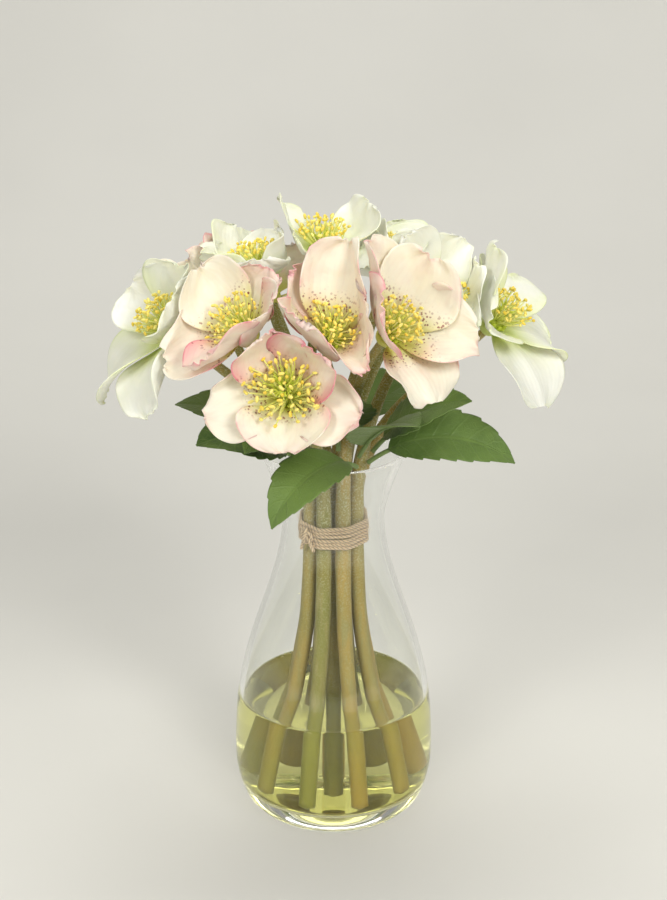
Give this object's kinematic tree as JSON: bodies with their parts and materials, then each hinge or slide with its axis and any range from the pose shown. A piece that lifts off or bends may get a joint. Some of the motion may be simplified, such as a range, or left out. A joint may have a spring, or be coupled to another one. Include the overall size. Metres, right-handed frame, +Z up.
{
  "type": "hellebore posy in a vase",
  "caption": "Posy of pink-tinged and white hellebores with dark leaves, its stems tied with twine and standing in water in a clear waisted glass vase.",
  "frame": {"origin": "middle of the flat foot of the vase, on the surface it stands on", "axes": "+Z up along the vase; -Y towards the posy's front, which the front bloom faces"},
  "size_m": [0.2007, 0.1583, 0.2883],
  "materials": {
    "glass": "clear, polished",
    "water": "clear pale yellow-green water",
    "twine": "rough natural twine",
    "stem": "matt olive skin with a pale down",
    "sepal_cream": "soft satin, cream flushed with rose",
    "sepal_white": "soft satin, white tinged with green",
    "stamens": "matt, lime green with yellow tips",
    "leaf": "matt, leathery"
  },
  "bodies": {
    "root": {"vase": "glass", "water": "water", "twine": "twine", "stem_01": "stem", "stem_02": "stem", "stem_03": "stem", "stem_04": "stem", "stem_05": "stem", "stem_06": "stem", "stem_07": "stem", "stem_08": "stem", "stem_09": "stem", "stem_10": "stem", "bloom_front_sepals": "sepal_cream", "bloom_front_stamens": "stamens", "bloom_centre_sepals": "sepal_cream", "bloom_centre_stamens": "stamens", "bloom_right_sepals": "sepal_cream", "bloom_right_stamens": "stamens", "bloom_left_sepals": "sepal_cream", "bloom_left_stamens": "stamens", "bloom_far_left_sepals": "sepal_white", "bloom_far_left_stamens": "stamens", "bloom_left_back_sepals": "sepal_cream", "bloom_left_back_stamens": "stamens", "bloom_crown_left_sepals": "sepal_white", "bloom_crown_left_stamens": "stamens", "bloom_crown_sepals": "sepal_white", "bloom_crown_stamens": "stamens", "bloom_crown_right_sepals": "sepal_white", "bloom_crown_right_stamens": "stamens", "bloom_upper_right_sepals": "sepal_white", "bloom_upper_right_stamens": "stamens", "bloom_far_right_sepals": "sepal_white", "bloom_far_right_stamens": "stamens", "bloom_back_left_sepals": "sepal_cream", "bloom_back_left_stamens": "stamens", "bloom_back_right_sepals": "sepal_white", "bloom_back_right_stamens": "stamens", "leaf_front_low": "leaf", "leaf_front_high": "leaf", "leaf_left_low": "leaf", "leaf_left_high": "leaf", "leaf_right_low": "leaf", "leaf_right_high": "leaf", "leaf_front_right": "leaf", "leaf_front_centre": "leaf", "leaf_back_right": "leaf", "leaf_back_left": "leaf"}
  },
  "joints": []
}
